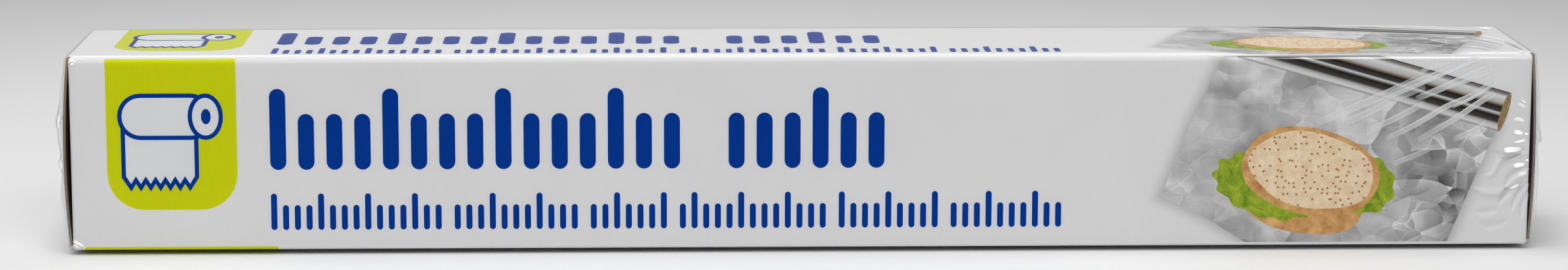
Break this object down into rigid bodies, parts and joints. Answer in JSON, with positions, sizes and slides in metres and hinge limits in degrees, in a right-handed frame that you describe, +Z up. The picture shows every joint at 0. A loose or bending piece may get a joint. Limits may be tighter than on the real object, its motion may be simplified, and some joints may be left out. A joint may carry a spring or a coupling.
{
  "type": "film-wrapped carton of kitchen foil",
  "caption": "Long square carton for a roll of kitchen foil, glued shut at both ends and sealed in clear shrink film with gathered end seals.",
  "frame": {"origin": "under the middle of the wrapped carton, on the surface it rests on", "axes": "+X along the carton, -Y out of the printed front, +Z up"},
  "size_m": [0.3052, 0.0404, 0.0412],
  "materials": {
    "coated_board": "clay-coated white board, printed, with raw grey-brown cut edges",
    "clear_film": "clear glossy shrink film"
  },
  "bodies": {
    "root": {"carton": "coated_board", "film_wrap": "clear_film"}
  },
  "joints": []
}
